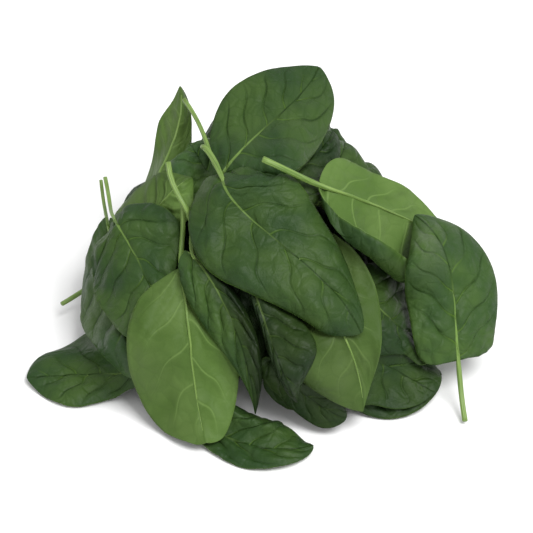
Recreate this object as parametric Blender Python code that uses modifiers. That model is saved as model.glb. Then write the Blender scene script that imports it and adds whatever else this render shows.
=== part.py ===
"""A loose heap of baby spinach leaves, as it lies on a table.

Some forty whole leaves, many with their stalks, lie and lean on one another round a solid core. The heap
is one closed solid that rests on a flat face, at its real size: metres, +Z up, with the origin on the table
under the middle of the heap.

The leaves are laid out across a line of sight, so a place is (right, up, height): millimetres to the right
and up across that line, and millimetres above the table. A height of BED takes the point where that line of
sight meets the bed of buried leaves. The leaves are laid one after another, from the bottom of the heap to
its top, and each is pushed towards the eye until it clears what it lies on.
"""

import math
from collections import namedtuple
from itertools import combinations

import bmesh
import bpy
import numpy as np
from mathutils import Vector

MM = 0.001

# The line of sight that the leaves are laid out across, in degrees and mm.
SIGHT_ELEVATION = 40.0
SIGHT_DISTANCE = 900.0
SIGHT_TARGET_HEIGHT = 24.0

# The bed: a mound of buried leaves that the others lie on, in mm. A fullness of 1 makes its slope a
# parabola.
BED_HALF_WIDTH = 58.0
BED_HALF_DEPTH = 56.0
BED_HEIGHT = 55.0
BED_FULLNESS = 0.75
BED_CENTRE = (-2.0, 3.0)
BED = None

# The solid core is this many times as high as the bed, so that the lowest leaves sink into it a little.
CORE_SHARE = 1.02

# Sizes of the solids, in mm. A leaf lies LAYER_GAP above what is under it, from middle to middle, which is
# less than its thickness, so that the solids join. Points closer than WELD are one point.
LEAF_THICKNESS = 1.7
STALK_RADIUS = 1.15
LAYER_GAP = 0.5
TABLE_CLEARANCE = 0.95
WELD = 0.02

# How finely each leaf is followed while it is laid down: points along and across it, cells in mm across the
# line of sight, and the controls and steps of its push.
LAY_ROWS = 49
LAY_COLUMNS = 33
CELL = 2.0
CELL_REACH = 110.0
LAY_CONTROLS = (9, 6)
LAY_STEPS = 14

# How finely the solids are divided: along and across a blade, and along a stalk.
BLADE_DIVISIONS = (8, 5)
BACK_BLADE_DIVISIONS = (5, 4)
STALK_RINGS = 5

# A leaf. Its spine runs from the base of the blade to its tip through four places, and its stalk on from the
# base to the cut end. Its width is in mm, and base and tip say how slowly it narrows to either end. In
# degrees, roll turns it about its spine at the base and at the tip; fold bends the halves to its left and
# right at the midrib, and curl bends them towards their margins, both towards the eye when positive. wave is
# the ripple of its margins: height in mm, number and phase. lobe is how far the blade reaches back beside
# the stalk, in mm. lie is 0 where it faces the eye and 1 where it lies along the bed. azimuth is the bearing
# of the line of sight that it is laid out across. left and right say how many times its usual width each half
# has at its base, a third and two thirds of the way along, and at its tip. A leaf that isn't shown is only
# felt by those on it.
Leaf = namedtuple(
    "Leaf",
    "name spine stalk width base tip roll fold curl wave lobe lie azimuth stalk_radius left right shown",
    defaults=(
        (), 34.0, 0.42, 0.55, (0.0, 0.0), (-8.0, -8.0), (-10.0, -10.0), (0.8, 1.6, 0.0), 2.5, 0.4,
        0.0, STALK_RADIUS, (1.0, 1.0, 1.0, 1.0), (1.0, 1.0, 1.0, 1.0), True,
    ),
)

# The leaves that the front of the heap shows, from the bottom to the top, with the buried ones first.
FRONT_LEAVES = (
    Leaf(
        "buried_middle",
        spine=((-6, 2, BED), (-1, -11, BED), (4, -24, BED), (8, -35, 8)),
        width=26,
        shown=False,
    ),
    Leaf(
        "buried_right",
        spine=((26, 12, BED), (35, 2, BED), (42, -8, BED), (47, -18, BED)),
        width=28,
        shown=False,
    ),
    Leaf(
        "buried_left",
        spine=((-37, -8, BED), (-35, -20, BED), (-31, -32, BED), (-28, -42, 8)),
        width=28,
        shown=False,
    ),
    Leaf(
        "back_right_edge",
        spine=((17, 22, BED), (20.5, 29, BED), (24, 35, 50), (26, 41.5, 51)),
        width=27,
    ),
    Leaf(
        "under_top_leaf",
        spine=((1, 25, BED), (9.5, 31.5, 54), (16, 37, 55), (22, 45, 55)),
        width=28,
    ),
    Leaf(
        "tall_folded",
        spine=((-40.5, 20.5, 36), (-33.5, 35.5, 46), (-29.5, 46.5, 55), (-28.8, 60, 64)),
        width=27,
        tip=0.7,
        fold=(-56, -70),
        curl=(0, 0),
        lie=0.0,
        left=(0.65, 0.52, 1.02, 0.95),
        right=(0.96, 1.26, 0.95, 1.14),
    ),
    Leaf(
        "behind_stalks",
        spine=((-14.8, 22, BED), (-18.5, 29, BED), (-22, 35, 52), (-25.5, 41, 50)),
        width=26,
    ),
    Leaf(
        "below_top",
        spine=((-12, 30, 54), (-4, 38, 55), (4, 46, 55), (12, 55, 54)),
        width=30,
    ),
    Leaf(
        "top",
        spine=((-14.8, 30.8, 56), (-5, 42, 62), (6, 52, 66), (17.5, 66.5, 70)),
        width=37,
        lie=0.0,
        left=(0.44, 0.91, 0.95, 0.96),
        right=(0.99, 0.96, 0.96, 0.73),
    ),
    Leaf(
        "low_right_outer",
        spine=((29.5, -26, BED), (39.5, -28.5, BED), (51, -33, 6), (61, -40, 3)),
        width=34,
        lie=1.0,
        right=(1.03, 1.29, 1.0, 1.0),
    ),
    Leaf(
        "low_right_inner",
        spine=((24.5, -23.8, BED), (36.2, -30.5, 9), (46.2, -36, 6), (56, -42, 4)),
        width=38,
        lie=1.0,
    ),
    Leaf(
        "low_middle_inner",
        spine=((6, -34.5, BED), (14.5, -40, 6), (20, -43.5, 4), (25.5, -47.5, 3)),
        width=22,
        lie=1.0,
    ),
    Leaf(
        "low_middle",
        spine=((4, -31, BED), (10, -39.5, 7), (18, -46, 4), (26.5, -50.5, 2.5)),
        width=25,
        lie=1.0,
        right=(0.95, 0.57, 0.67, 1.13),
    ),
    Leaf(
        "flat_left",
        spine=((-30, -34, 5), (-47, -35, 4), (-64, -36, 3), (-79.8, -37, 2.5)),
        width=33,
        lie=1.0,
        left=(0.63, 0.46, 0.93, 0.59),
        right=(0.86, 1.5, 1.58, 1.35),
    ),
    Leaf(
        "flat_front",
        spine=((-31, -45, 5), (-15, -55.5, 3), (1.5, -60.5, 3), (15.5, -59.5, 2.5)),
        width=25,
        tip=0.45,
        lie=1.0,
        left=(1.41, 1.23, 1.42, 1.44),
        right=(1.01, 0.58, 0.7, 0.48),
    ),
    Leaf(
        "stray_stalk",
        spine=((-57, -5.5, BED), (-50, -1, BED), (-43, 4, BED), (-36, 9, BED)),
        stalk=((-62.5, -9, 9), (-68.2, -12.5, 7)),
        width=22,
        base=0.9,
    ),
    Leaf(
        "right_shade",
        spine=((28, -4, BED), (38, -14.2, BED), (47.8, -22.8, BED), (57, -29.5, 14)),
        width=31,
        right=(0.96, 1.22, 0.58, 1.26),
    ),
    Leaf(
        "left_outer",
        spine=((-53, 14, 32), (-51.5, -2.8, BED), (-48, -19.5, BED), (-43.8, -37.2, BED)),
        stalk=((-54.2, 21, 38), (-55.2, 28.8, 44)),
        width=32,
        stalk_radius=0.95,
        right=(0.93, 0.86, 0.82, 0.91),
    ),
    Leaf(
        "behind_left",
        spine=((-42, 9, BED), (-37, 17, BED), (-32, 24, 47), (-25, 29.5, 51)),
        width=28,
        left=(1.06, 1.04, 0.82, 0.69),
        right=(1.01, 0.72, 0.83, 0.51),
    ),
    Leaf(
        "left",
        spine=((-50.8, 15.5, 38), (-44.5, 4.8, 38), (-38.8, -7.8, BED), (-36.2, -26.2, BED)),
        stalk=((-52.4, 22, 42), (-53.8, 29.8, 48)),
        width=34,
        stalk_radius=1.0,
        left=(0.4, 1.05, 0.52, 0.93),
        right=(1.38, 1.16, 1.2, 1.57),
    ),
    Leaf(
        "right_front",
        spine=((7.8, 8.8, BED), (18.5, -9.5, BED), (27.8, -27.8, BED), (32.2, -48.2, 2.5)),
        width=37,
        curl=(50, -10),
        left=(1.0, 0.97, 0.68, 0.05),
        right=(0.98, 1.07, 1.18, 1.23),
    ),
    Leaf(
        "middle_folded",
        spine=((-5.5, -4.5, BED), (-0.2, -19.5, BED), (4.2, -31.8, BED), (10.2, -45.2, 5)),
        width=29,
        tip=0.8,
        fold=(-10, -75),
        left=(0.81, 0.7, 1.13, 0.37),
        right=(0.84, 0.49, 0.66, 0.98),
    ),
    Leaf(
        "under_main",
        spine=((-14, 29, BED), (0, 14, BED), (12, 0, BED), (22, -14, BED)),
        stalk=((-21, 44, 62), (-27.5, 55.8, 66)),
        width=28,
        stalk_radius=0.85,
    ),
    Leaf(
        "front_left",
        spine=((-28.5, -0.5, BED), (-26.2, -17.8, BED), (-23.8, -39.5, BED), (-20.2, -58.8, 2.5)),
        stalk=((-28.2, 8, BED), (-27.8, 20.5, 53)),
        width=38,
        base=0.7,
        tip=0.42,
        lobe=0.0,
        curl=(0, 0),
        left=(1.02, 0.9, 0.75, 0.64),
        right=(1.12, 1.35, 1.03, 0.57),
    ),
    Leaf(
        "front_hooked",
        spine=((-25.5, 4.8, BED), (-14.8, -11.2, BED), (-7.8, -27.8, BED), (-3.8, -49.2, 6)),
        stalk=((-24.8, 13.2, BED), (-27.5, 20.5, BED), (-32.8, 34.8, 58)),
        width=29,
        tip=1.0,
        fold=(-65, -35),
        left=(1.1, 0.68, 1.07, 1.4),
        right=(1.03, 0.89, 0.71, 0.11),
    ),
    Leaf(
        "main",
        spine=((-14.8, 30.2, BED), (-1.5, 12.8, BED), (15.2, -1.2, BED), (31.5, -22.2, BED)),
        stalk=((-21.2, 39.8, 60),),
        width=42,
        fold=(-6, -6),
        curl=(-20, -20),
        stalk_radius=1.4,
        left=(0.9, 1.0, 0.66, 0.42),
        right=(0.7, 1.06, 0.84, 1.3),
    ),
    Leaf(
        "right_upturned",
        spine=((19.5, 26.2, 54), (34.5, 20.8, 46), (48, 15, 38), (60, 8.5, 32)),
        stalk=((8, 31.5, 58), (-1.2, 35.8, 62)),
        width=38,
        curl=(0, 180),
        lie=0.2,
        left=(1.1, 0.46, 0.44, 0.3),
        right=(1.25, 1.6, 2.1, 3.8),
    ),
    Leaf(
        "right_hanging",
        spine=((64, -31.2, 14), (63, -17.2, 26), (60.5, 1, 37), (49.5, 17, 43)),
        stalk=((64.9, -42, 7), (66.2, -51.5, 1.8)),
        width=33,
        base=0.12,
        fold=(-4, -24),
        curl=(-20, -30),
        lobe=1.0,
        lie=0.0,
        left=(0.85, 0.97, 1.2, 1.1),
        right=(1.0, 1.1, 1.3, 0.55),
    ),
)

# The leaves round the back are placed by a rule, in rings from the table up: how many, between which bearings
# in degrees, how far up the line of sight their middles lie, in mm, how they are turned from straight down it
# and how far that sways, in degrees, how much shorter they look along it than across it, and their lengths in
# mm.
BackRing = namedtuple("BackRing", "count bearings middle turn sway squash lengths")
BACK_RINGS = (
    BackRing(7, (108.0, 238.0), middle=-48.0, turn=80.0, sway=45.0, squash=0.75, lengths=(44.0, 56.0)),
    BackRing(7, (98.0, 246.0), middle=-31.0, turn=0.0, sway=75.0, squash=1.0, lengths=(56.0, 68.0)),
    BackRing(6, (138.0, 214.0), middle=-12.0, turn=0.0, sway=80.0, squash=1.0, lengths=(48.0, 62.0)),
)
BACK_WIDTHS = (29.0, 39.0)
BACK_SPINE = (-0.4, -0.13, 0.13, 0.4)
BACK_SEED = 13


class Sight:
    """Places across one line of sight: right, up and near, which grows towards the eye."""

    def __init__(self, azimuth):
        turn, rise = math.radians(azimuth), math.radians(SIGHT_ELEVATION)
        self.back = np.array(
            [math.sin(turn) * math.cos(rise), -math.cos(turn) * math.cos(rise), math.sin(rise)]
        )
        self.right = np.array([math.cos(turn), math.sin(turn), 0.0])
        self.up = np.cross(self.back, self.right)
        self.target = np.array([0.0, 0.0, SIGHT_TARGET_HEIGHT])

    def seen(self, points):
        """World points as (right, up, near)."""
        offset = points - self.target
        near = offset @ self.back
        grow = SIGHT_DISTANCE / (SIGHT_DISTANCE - near)
        return np.stack([offset @ self.right * grow, offset @ self.up * grow, near], axis=-1)

    def world(self, seen):
        """The world points of (right, up, near)."""
        seen = np.asarray(seen, float)
        shrink = (SIGHT_DISTANCE - seen[..., 2:]) / SIGHT_DISTANCE
        across = seen[..., :1] * self.right + seen[..., 1:2] * self.up
        return self.target + across * shrink + seen[..., 2:] * self.back

    def near_at_height(self, up, height):
        """How near the line of sight through that place is where it reaches a height above the table."""
        rise = up * self.up[2]
        return (height - SIGHT_TARGET_HEIGHT - rise) / (self.back[2] - rise / SIGHT_DISTANCE)

    def place(self, right, up, height):
        """One world point from its place across the line of sight and its height."""
        if height is BED:
            height = self.height_on_bed(right, up)
        return self.world((right, up, self.near_at_height(up, height)))

    def height_on_bed(self, right, up):
        """The height at which the line of sight through that place first meets the bed, or else 0."""
        for height in np.linspace(BED_HEIGHT, 0.0, 150):
            x, y, _ = self.world((right, up, self.near_at_height(up, height)))
            if bed_height(x, y) >= height:
                return height
        return 0.0


def bed_height(x, y):
    """The height of the bed above a place on the table."""
    across = (x - BED_CENTRE[0]) / BED_HALF_WIDTH
    deep = (y - BED_CENTRE[1]) / BED_HALF_DEPTH
    return BED_HEIGHT * np.clip(1.0 - across**2 - deep**2, 0.0, None) ** BED_FULLNESS


def unit(vectors):
    return vectors / np.linalg.norm(vectors, axis=-1, keepdims=True)


def resting_normal(points):
    """The way a leaf faces when it lies on the bed there, or straight up where it lies on the table."""
    (x, y, z), reach = np.moveaxis(points, -1, 0), 8.0
    on_bed = np.clip((z - 5.0) / 10.0, 0.0, 1.0)
    across = on_bed * (bed_height(x - reach, y) - bed_height(x + reach, y))
    deep = on_bed * (bed_height(x, y - reach) - bed_height(x, y + reach))
    return unit(np.stack([across, deep, np.full_like(x, 2 * reach)], axis=-1))


def curve_through(knots, points, share):
    """A smooth curve that comes through each point at its knot, at each share of its length."""
    curve = np.zeros((len(share), points.shape[1]))
    for i, knot in enumerate(knots):
        weight = np.ones(len(share))
        for other in np.delete(knots, i):
            weight = weight * (share - other) / (knot - other)
        curve += weight[:, None] * points[i]
    return curve


def through(points, share):
    """A smooth curve through the points, at each share of its length."""
    points = np.asarray(points, float)
    lengths = np.linalg.norm(np.diff(points, axis=0), axis=1)
    return curve_through(np.concatenate([[0.0], np.cumsum(lengths)]) / lengths.sum(), points, share)


def half_width(leaf, along, across):
    """The width of the blade's half at each place: rows from base to tip, columns from left to right."""
    widest = leaf.base / (leaf.base + leaf.tip)
    most = widest**leaf.base * (1.0 - widest) ** leaf.tip
    usual = 0.5 * leaf.width * along**leaf.base * (1.0 - along) ** leaf.tip / most
    times = curve_through(np.linspace(0.0, 1.0, 4), np.array([leaf.left, leaf.right]).T, along)
    return usual[:, None] * np.where(across < 0, times[:, :1], times[:, 1:])


def cross_section(fold, curl, out):
    """How far across and off its plane the blade lies, at each share of the way out to the margin."""
    steps = np.linspace(0.0, 1.0, 41)
    angle = np.radians(fold * np.clip(steps / 0.2, 0.0, 1.0) + curl * steps**2)
    middle = (angle[1:] + angle[:-1]) / 2
    across = np.concatenate([[0.0], np.cumsum(np.cos(middle))]) * steps[1]
    off = np.concatenate([[0.0], np.cumsum(np.sin(middle))]) * steps[1]
    return np.interp(out, steps, across), np.interp(out, steps, off)


def blade(leaf, along, across):
    """World points of the blade before it is laid: rows from base to tip, columns from left to right."""
    sight = Sight(leaf.azimuth)
    spine = through([sight.place(*place) for place in leaf.spine], along)
    ahead = unit(np.gradient(spine, along, axis=0))
    facing = unit((1.0 - leaf.lie) * sight.back + leaf.lie * resting_normal(spine))
    side = unit(np.cross(ahead, facing))
    face = np.cross(side, ahead)
    roll = np.radians(np.interp(along, (0.0, 1.0), leaf.roll))[:, None]
    side, face = (
        side * np.cos(roll) + face * np.sin(roll),
        face * np.cos(roll) - side * np.sin(roll),
    )
    out = np.abs(across)
    left, left_off = cross_section(leaf.fold[0], leaf.curl[0], out)
    right, right_off = cross_section(leaf.fold[1], leaf.curl[1], out)
    sideways = np.where(across < 0, -left, right)
    off = np.where(across < 0, left_off, right_off)
    half = half_width(leaf, along, across)
    height, count, phase = leaf.wave
    fullness = half * 2 / leaf.width
    swing = np.sin(2 * np.pi * count * along[:, None] + phase + 1.7 * (across > 0))
    ripple = height * out**2 * swing * fullness
    lobe = -leaf.lobe * out**2 * (1.0 - along[:, None]) ** 6 * (along[:, None] > 0)
    return (
        spine[:, None]
        + side[:, None] * (half * sideways)[..., None]
        + face[:, None] * (half * off + ripple)[..., None]
        + ahead[:, None] * lobe[..., None]
    )


def spline_weights(share, controls):
    """How much each of the evenly spaced controls counts in a smooth curve, at each share of its length."""
    place = share[..., None] * (controls - 3) - (np.arange(controls) - 1)
    distance = np.abs(place)
    inner = 2 / 3 - distance**2 + distance**3 / 2
    outer = np.clip(2 - distance, 0.0, None) ** 3 / 6
    return np.where(distance < 1, inner, outer)


def blade_weights(leaf, along, across):
    """How much each control of the push counts at each point of the blade."""
    sideways = half_width(leaf, along, across) * across
    rows = spline_weights(along, LAY_CONTROLS[0])
    columns = spline_weights(np.clip(0.5 + sideways / leaf.width, 0.0, 1.0), LAY_CONTROLS[1])
    return (rows[:, None, :, None] * columns[:, :, None, :]).reshape(len(along), len(across), -1)


def smooth_push(needed, weights):
    """The controls of a smooth push that just clears what is needed everywhere."""
    needed = needed.reshape(-1)
    weights = weights.reshape(len(needed), -1)
    push = np.full(weights.shape[1], min(0.0, needed.max()))
    for _ in range(LAY_STEPS):
        short = np.clip(needed - weights @ push, 0.0, None)
        push += (short[:, None] * weights).max(axis=0) / weights.max()
    return push


class Pile:
    """What has been laid so far, as points on its surfaces."""

    def __init__(self):
        x, y = np.meshgrid(np.arange(-65.0, 65.0), np.arange(-65.0, 65.0))
        z = bed_height(x, y)
        self.points = [np.stack([x, y, z], axis=-1)[z > 0]]

    def near(self, sight, seen):
        """How near the pile or the table comes along the lines of sight through those places."""
        cells = int(2 * CELL_REACH / CELL)
        laid = sight.seen(np.concatenate(self.points))
        nearest = np.full((cells, cells), -1e3)
        np.maximum.at(nearest, self.cell(laid, cells), laid[:, 2])
        table = sight.near_at_height(seen[..., 1], TABLE_CLEARANCE) - LAYER_GAP
        return np.maximum(nearest[self.cell(seen, cells)], table)

    def cell(self, seen, cells):
        index = ((seen[..., :2] + CELL_REACH) / CELL).astype(int)
        return tuple(np.moveaxis(np.clip(index, 0, cells - 1), -1, 0))

    def lay(self, leaf):
        """Lays a leaf on the pile. Returns a function that gives the blade's points, and the stalk's line."""
        sight = Sight(leaf.azimuth)
        along = np.linspace(0.0, 1.0, LAY_ROWS)
        across = np.linspace(-1.0, 1.0, LAY_COLUMNS)
        seen = sight.seen(blade(leaf, along, across))
        needed = self.near(sight, seen) + LAYER_GAP - seen[..., 2]
        controls = smooth_push(needed, blade_weights(leaf, along, across))

        def laid_blade(along, across):
            seen = sight.seen(blade(leaf, along, across))
            seen[..., 2] += blade_weights(leaf, along, across) @ controls
            return sight.world(seen)

        stalk = self.lay_stalk(leaf, sight, laid_blade) if leaf.stalk else None
        self.points.append(laid_blade(along, across).reshape(-1, 3))
        if stalk is not None:
            self.points.append(stalk)
        return laid_blade, stalk

    def lay_stalk(self, leaf, sight, laid_blade):
        """The stalk's line, from just inside the blade to its cut end, laid over the pile."""
        inside = laid_blade(np.array([0.0, 0.02, 0.14]), np.array([0.0]))[1:, 0][::-1]
        places = [sight.place(*place) for place in leaf.stalk]
        share = np.linspace(0.0, 1.0, 25)
        line = sight.seen(through([*inside, *places], share))
        needed = self.near(sight, line) + leaf.stalk_radius - line[:, 2]
        needed[share < 0.3] = 0.0
        weights = spline_weights(share, 6) * share[:, None]
        line[:, 2] += weights @ smooth_push(np.clip(needed, 0.0, None), weights)
        return sight.world(line)


def back_leaves():
    """The leaves round the back of the heap, the lowest ring first."""
    draw = np.random.default_rng(BACK_SEED)
    for ring in BACK_RINGS:
        for number, bearing in enumerate(np.linspace(*ring.bearings, ring.count)):
            turn = math.radians(ring.turn + draw.uniform(-ring.sway, ring.sway) + 180 * (number % 3 == 1))
            ahead = np.array([math.sin(turn), -math.cos(turn) * ring.squash]) * draw.uniform(*ring.lengths)
            aside = np.array([-ahead[1], ahead[0]]) * draw.uniform(-0.35, 0.35)
            middle = np.array([draw.uniform(-6, 6), ring.middle + draw.uniform(-4, 4)])
            line = [middle + ahead * share + aside * share**2 for share in BACK_SPINE]
            yield Leaf(
                f"back_{round(bearing)}_{round(-ring.middle)}",
                spine=tuple((*place, BED) for place in line),
                width=draw.uniform(*BACK_WIDTHS),
                base=draw.uniform(0.34, 0.55),
                tip=draw.uniform(0.45, 0.75),
                roll=tuple(draw.uniform(-15, 15, 2)),
                fold=tuple(draw.uniform(-25, 6, 2)),
                curl=tuple(draw.uniform(-35, 15, 2)),
                wave=(1.2, 2.0, draw.uniform(0, 6)),
                azimuth=bearing,
                lie=0.85,
            )


def blade_solid(leaf, laid_blade, divisions, collection):
    """The blade as a thin wavy solid, both faces divided alike."""
    rows, columns = divisions
    mesh = bpy.data.meshes.new(leaf.name)
    form = bmesh.new()
    bmesh.ops.create_grid(form, x_segments=columns, y_segments=rows, size=1.0)
    along = 0.5 - 0.5 * np.cos(np.pi * np.linspace(0.0, 1.0, rows + 1))
    across = np.linspace(-1.0, 1.0, columns + 1)
    points = laid_blade(along, across) * MM
    for vertex in form.verts:
        row = round((vertex.co.y + 1.0) / 2.0 * rows)
        column = round((vertex.co.x + 1.0) / 2.0 * columns)
        vertex.co = points[row, column]
    bmesh.ops.remove_doubles(form, verts=form.verts, dist=WELD * MM)
    bmesh.ops.triangulate(form, faces=form.faces)
    form.to_mesh(mesh)
    form.free()
    piece = bpy.data.objects.new(leaf.name, mesh)
    collection.objects.link(piece)
    solid = piece.modifiers.new("thickness", "SOLIDIFY")
    solid.thickness = LEAF_THICKNESS * MM
    solid.offset = 0.0
    return piece


def stalk_solid(leaf, line, collection):
    """The stalk as a bent rod that grows a little towards its cut end."""
    curve = bpy.data.curves.new(leaf.name + "_stalk", "CURVE")
    curve.dimensions = "3D"
    curve.bevel_depth = leaf.stalk_radius * MM
    curve.bevel_resolution = 0
    curve.use_fill_caps = True
    run = curve.splines.new("POLY")
    rings = np.linspace(0, len(line) - 1, STALK_RINGS).round().astype(int)
    run.points.add(len(rings) - 1)
    for point, ring in zip(run.points, rings):
        point.co = (*line[ring] * MM, 1.0)
        point.radius = 0.8 + 0.25 * ring / rings[-1]
    holder = bpy.data.objects.new(leaf.name + "_stalk_line", curve)
    collection.objects.link(holder)
    mesh = bpy.data.meshes.new_from_object(holder.evaluated_get(bpy.context.evaluated_depsgraph_get()))
    bpy.data.objects.remove(holder)
    form = bmesh.new()
    form.from_mesh(mesh)
    bmesh.ops.remove_doubles(form, verts=form.verts, dist=WELD * MM)
    bmesh.ops.recalc_face_normals(form, faces=form.faces)
    form.to_mesh(mesh)
    form.free()
    piece = bpy.data.objects.new(leaf.name + "_stalk", mesh)
    collection.objects.link(piece)
    return piece


def core_solid(collection):
    """The bed as a solid mound with a flat base on the table."""
    form = bmesh.new()
    bmesh.ops.create_uvsphere(form, u_segments=20, v_segments=12, radius=1.0)
    below = [vertex for vertex in form.verts if vertex.co.z < -0.01]
    bmesh.ops.delete(form, geom=below, context="VERTS")
    rim = [edge for edge in form.edges if edge.is_boundary]
    bmesh.ops.contextual_create(form, geom=rim)
    for vertex in form.verts:
        x = BED_CENTRE[0] + vertex.co.x * BED_HALF_WIDTH
        y = BED_CENTRE[1] + vertex.co.y * BED_HALF_DEPTH
        vertex.co = Vector((x, y, bed_height(x, y) * CORE_SHARE)) * MM
    bmesh.ops.recalc_face_normals(form, faces=form.faces)
    mesh = bpy.data.meshes.new("core")
    form.to_mesh(mesh)
    form.free()
    core = bpy.data.objects.new("core", mesh)
    collection.objects.link(core)
    return core


def apply_modifiers(piece):
    """Puts the piece's own modifiers into its mesh."""
    bpy.context.view_layer.update()
    mesh = bpy.data.meshes.new_from_object(piece.evaluated_get(bpy.context.evaluated_depsgraph_get()))
    piece.modifiers.clear()
    piece.data = mesh


def volume(faces):
    """The volume inside a closed set of faces, negative where they face inwards."""
    total = 0.0
    for face in faces:
        first, *rest = [loop.vert.co for loop in face.loops]
        total += sum(first.dot(a.cross(b)) for a, b in zip(rest, rest[1:])) / 6.0
    return total


def shells(form):
    """The faces of each separate closed surface, the largest volume first."""
    left = set(form.faces)
    found = []
    while left:
        front = [left.pop()]
        shell = list(front)
        while front:
            face = front.pop()
            for edge in face.edges:
                for other in edge.link_faces:
                    if other in left:
                        left.remove(other)
                        front.append(other)
                        shell.append(other)
        found.append(shell)
    return sorted(found, key=volume, reverse=True)


def centre_shared_faces(form):
    """Adds a middle corner to faces that meet another at two corners without an edge there.

    Both could otherwise be cut along the same line, which would then have four faces."""
    owners = {}
    for face in form.faces:
        for pair in combinations(face.verts, 2):
            if form.edges.get(pair) is None:
                owners.setdefault(frozenset(pair), []).append(face)
    form.faces.index_update()
    shared = {min(faces, key=lambda face: (len(face.verts), face.index)).index
              for faces in owners.values() if len(faces) > 1}
    form.faces.ensure_lookup_table()
    bmesh.ops.poke(form, faces=[form.faces[index] for index in sorted(shared)])


def keep_outer_shell(mesh):
    """Fills sealed hollows and drops loose scraps, leaving the one outer surface."""
    form = bmesh.new()
    form.from_mesh(mesh)
    for shell in shells(form)[1:]:
        bmesh.ops.delete(form, geom=shell, context="FACES")
    loose = [vertex for vertex in form.verts if not vertex.link_faces]
    bmesh.ops.delete(form, geom=loose, context="VERTS")
    centre_shared_faces(form)
    bmesh.ops.triangulate(form, faces=form.faces)
    form.to_mesh(mesh)
    form.free()


def spinach_material():
    material = bpy.data.materials.new("spinach_leaf")
    material.use_nodes = True
    shader = material.node_tree.nodes["Principled BSDF"]
    shader.inputs["Base Color"].default_value = (0.067, 0.116, 0.042, 1.0)
    shader.inputs["Roughness"].default_value = 0.45
    shader.inputs["Metallic"].default_value = 0.0
    return material


def lay_heap(collection):
    """Lays every leaf in turn and makes the solids of those that show."""
    pile = Pile()
    back = [(leaf, BACK_BLADE_DIVISIONS) for leaf in back_leaves()]
    front = [(leaf, BLADE_DIVISIONS) for leaf in FRONT_LEAVES]
    for leaf, divisions in back + front:
        laid_blade, line = pile.lay(leaf)
        if not leaf.shown:
            continue
        blade_solid(leaf, laid_blade, divisions, collection)
        if line is not None:
            stalk_solid(leaf, line, collection)


def fuse(core, collection):
    """Joins the leaves and the core into one solid."""
    for piece in collection.objects:
        apply_modifiers(piece)
    union = core.modifiers.new("leaves", "BOOLEAN")
    union.operation = "UNION"
    union.operand_type = "COLLECTION"
    union.collection = collection
    union.solver = "MANIFOLD"
    apply_modifiers(core)
    for piece in list(collection.objects):
        bpy.data.objects.remove(piece)
    keep_outer_shell(core.data)


def main():
    for piece in list(bpy.data.objects):
        bpy.data.objects.remove(piece)
    heap = bpy.data.collections.new("spinach_heap")
    leaves = bpy.data.collections.new("leaves_to_fuse")
    leaves.hide_render = True
    for collection in (heap, leaves):
        bpy.context.scene.collection.children.link(collection)
    core = core_solid(heap)
    lay_heap(leaves)
    fuse(core, leaves)
    core.name = "spinach_heap"
    core.data.name = "spinach_heap"
    core.data.materials.clear()
    core.data.materials.append(spinach_material())
    core.data.shade_smooth()
    core.data.set_sharp_from_angle(angle=math.radians(40.0))


main()
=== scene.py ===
"""The looks of a loose heap of baby spinach leaves.

Each leaf is a piece of its own: a thin blade with sunk veins, darker above than below, on a ribbed stalk
that runs on as the midrib. The leaves are laid out across a line of sight and laid down one after another,
from the bottom of the heap to its top, each pushed towards the eye until it clears what it lies on.
"""

import math
from collections import namedtuple

import bpy
import numpy as np
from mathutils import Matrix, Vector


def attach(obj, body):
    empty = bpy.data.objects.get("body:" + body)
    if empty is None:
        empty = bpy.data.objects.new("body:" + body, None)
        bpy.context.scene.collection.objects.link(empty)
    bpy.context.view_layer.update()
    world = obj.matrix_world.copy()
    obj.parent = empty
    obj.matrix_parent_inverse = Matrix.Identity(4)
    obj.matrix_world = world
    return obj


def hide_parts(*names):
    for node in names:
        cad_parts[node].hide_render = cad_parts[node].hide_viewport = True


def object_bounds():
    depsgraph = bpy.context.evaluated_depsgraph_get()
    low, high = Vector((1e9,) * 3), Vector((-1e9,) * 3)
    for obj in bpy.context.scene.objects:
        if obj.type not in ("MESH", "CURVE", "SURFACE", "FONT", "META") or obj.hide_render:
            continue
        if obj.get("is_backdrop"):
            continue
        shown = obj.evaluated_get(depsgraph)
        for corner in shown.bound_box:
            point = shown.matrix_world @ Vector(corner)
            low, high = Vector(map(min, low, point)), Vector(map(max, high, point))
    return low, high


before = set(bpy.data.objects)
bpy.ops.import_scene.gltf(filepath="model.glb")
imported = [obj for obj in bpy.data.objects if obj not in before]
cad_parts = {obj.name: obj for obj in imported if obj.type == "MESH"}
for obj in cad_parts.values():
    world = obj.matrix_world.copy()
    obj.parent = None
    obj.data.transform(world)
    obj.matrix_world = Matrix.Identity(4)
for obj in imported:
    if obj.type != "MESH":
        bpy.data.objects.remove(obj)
CAD_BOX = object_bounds()

HEAP_NODE = "spinach_heap"
MM = 0.001

# The line of sight that the leaves are laid out across, which is also the camera's, in degrees and mm.
SIGHT_ELEVATION = 40.0
SIGHT_DISTANCE = 900.0
SIGHT_TARGET_HEIGHT = 24.0
SEEN_WIDTH = 533 / 3

# The bed: a mound of buried leaves that the others lie on, in mm. A fullness of 1 makes its slope a parabola.
# BED in place of a height puts a leaf's place on the bed.
BED_HALF_WIDTH = 58.0
BED_HALF_DEPTH = 56.0
BED_HEIGHT = 55.0
BED_FULLNESS = 0.75
BED_CENTRE = (-2.0, 3.0)
BED = None

# Real sizes of a leaf and of the gaps round it, in mm.
LEAF_THICKNESS = 0.42
STALK_RADIUS = 0.85
LAYER_GAP = 0.75
TABLE_CLEARANCE = 0.6

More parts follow.
